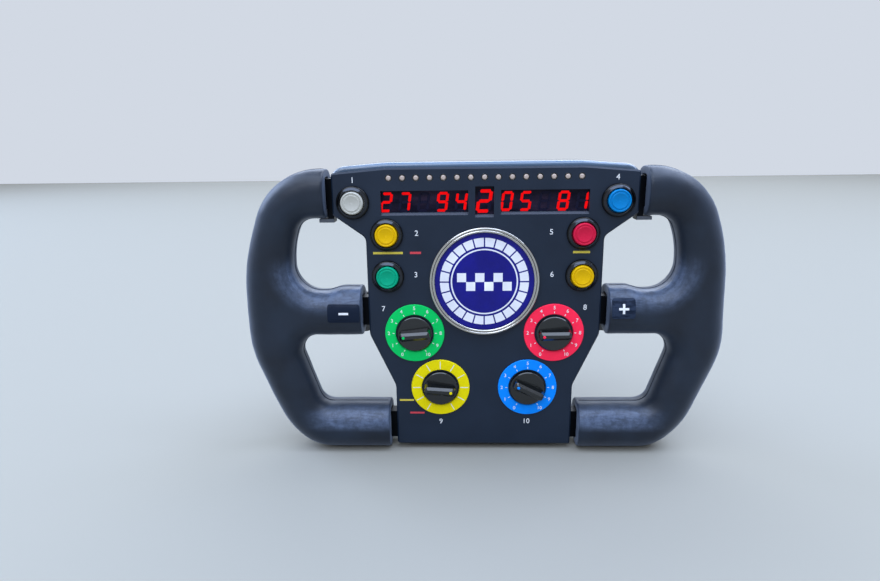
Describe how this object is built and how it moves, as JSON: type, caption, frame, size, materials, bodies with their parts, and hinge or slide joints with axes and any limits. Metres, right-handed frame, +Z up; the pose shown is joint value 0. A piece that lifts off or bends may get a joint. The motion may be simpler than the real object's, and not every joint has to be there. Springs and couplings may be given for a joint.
{
  "type": "open wheel racing car steering wheel",
  "caption": "Flat-topped racing steering wheel with two grips, numeric display, shift lamps, push buttons, rotary dials, shift paddles and a quick-release hub.",
  "frame": {"origin": "middle of the pilot bore of the quick-release hub, on the axis that the wheel turns about", "axes": "+Z up with the wheel straight ahead, +Y along the steering column away from the driver, +X to the driver's right"},
  "size_m": [0.2804, 0.0923, 0.1728],
  "materials": {
    "faceplate_coat": "satin",
    "armature_alloy": "anodised",
    "housing_moulding": "satin",
    "grip_rubber": "satin",
    "display_glass": "gloss",
    "lamp_lens": "gloss",
    "badge_chrome": "polished",
    "badge_enamel": "gloss",
    "bezel_black": "anodised",
    "cap_white": "satin",
    "cap_blue": "satin",
    "cap_yellow": "satin",
    "cap_red": "satin",
    "cap_green": "satin",
    "scale_green": "satin",
    "scale_red": "satin",
    "scale_yellow": "satin",
    "scale_blue": "satin",
    "knob_plastic": "satin",
    "bushing_brass": "satin",
    "hub_alloy": "machined",
    "collar_alloy": "anodised",
    "steel": "satin",
    "paddle_laminate": "satin",
    "bracket_alloy": "anodised",
    "connector_shell": "satin"
  },
  "bodies": {
    "wheel": {"face_plate": "faceplate_coat", "armature": "armature_alloy", "housing": "housing_moulding", "grip_left": "grip_rubber", "grip_right": "grip_rubber", "display_left": "display_glass", "display_gear": "display_glass", "display_right": "display_glass", "shift_lamps": "lamp_lens", "badge_rim": "badge_chrome", "badge_disc": "badge_enamel", "button_bezels": "bezel_black", "dial_ring_green": "scale_green", "dial_ring_red": "scale_red", "dial_ring_yellow": "scale_yellow", "dial_ring_blue": "scale_blue", "dial_bushings": "bushing_brass", "hub": "hub_alloy", "snap_ring": "steel", "paddle_bracket_left": "bracket_alloy", "paddle_bracket_right": "bracket_alloy", "paddle_pin_left": "steel", "paddle_pin_right": "steel", "connector": "connector_shell"},
    "white_button": {"button_white": "cap_white"},
    "yellow_left_button": {"button_yellow_left": "cap_yellow"},
    "green_button": {"button_green": "cap_green"},
    "blue_button": {"button_blue": "cap_blue"},
    "red_button": {"button_red": "cap_red"},
    "yellow_right_button": {"button_yellow_right": "cap_yellow"},
    "green_dial": {"knob_green": "knob_plastic"},
    "red_dial": {"knob_red": "knob_plastic"},
    "yellow_dial": {"knob_yellow": "knob_plastic"},
    "blue_dial": {"knob_blue": "knob_plastic"},
    "left_paddle": {"paddle_left": "paddle_laminate"},
    "right_paddle": {"paddle_right": "paddle_laminate"},
    "collar": {"release_collar": "collar_alloy"}
  },
  "joints": [
    {"name": "press_white", "type": "slide", "parent": "wheel", "child": "white_button", "axis": [0, 1, 0], "range_m": [0, 0.0016], "stiffness_N_per_m": 1200, "springref_m": -0.0005},
    {"name": "press_yellow_left", "type": "slide", "parent": "wheel", "child": "yellow_left_button", "axis": [0, 1, 0], "range_m": [0, 0.0016], "stiffness_N_per_m": 1200, "springref_m": -0.0005},
    {"name": "press_green", "type": "slide", "parent": "wheel", "child": "green_button", "axis": [0, 1, 0], "range_m": [0, 0.0016], "stiffness_N_per_m": 1200, "springref_m": -0.0005},
    {"name": "press_blue", "type": "slide", "parent": "wheel", "child": "blue_button", "axis": [0, 1, 0], "range_m": [0, 0.0016], "stiffness_N_per_m": 1200, "springref_m": -0.0005},
    {"name": "press_red", "type": "slide", "parent": "wheel", "child": "red_button", "axis": [0, 1, 0], "range_m": [0, 0.0016], "stiffness_N_per_m": 1200, "springref_m": -0.0005},
    {"name": "press_yellow_right", "type": "slide", "parent": "wheel", "child": "yellow_right_button", "axis": [0, 1, 0], "range_m": [0, 0.0016], "stiffness_N_per_m": 1200, "springref_m": -0.0005},
    {"name": "turn_green", "type": "hinge", "parent": "wheel", "child": "green_dial", "pos_m": [-0.0406, -0.074, -0.031], "axis": [0, -1, 0], "range_deg": [-247, 53]},
    {"name": "turn_red", "type": "hinge", "parent": "wheel", "child": "red_dial", "pos_m": [0.0406, -0.074, -0.031], "axis": [0, -1, 0], "range_deg": [-244, 56]},
    {"name": "turn_yellow", "type": "hinge", "parent": "wheel", "child": "yellow_dial", "pos_m": [-0.0259, -0.074, -0.0651], "axis": [0, -1, 0], "range_deg": [-52, 248]},
    {"name": "turn_blue", "type": "hinge", "parent": "wheel", "child": "blue_dial", "pos_m": [0.0259, -0.074, -0.0651], "axis": [0, -1, 0], "range_deg": [-217, 83]},
    {"name": "pull_left_paddle", "type": "hinge", "parent": "wheel", "child": "left_paddle", "pos_m": [-0.049, -0.0295, -0.03], "axis": [0, 0, 1], "range_deg": [0, 6], "stiffness_Nm_per_rad": 1.5, "springref_deg": -4.58},
    {"name": "pull_right_paddle", "type": "hinge", "parent": "wheel", "child": "right_paddle", "pos_m": [0.049, -0.0295, -0.03], "axis": [0, 0, -1], "range_deg": [0, 6], "stiffness_Nm_per_rad": 1.5, "springref_deg": -4.58},
    {"name": "pull_release_collar", "type": "slide", "parent": "wheel", "child": "collar", "axis": [0, -1, 0], "range_m": [0, 0.007], "stiffness_N_per_m": 1500, "springref_m": -0.003}
  ]
}
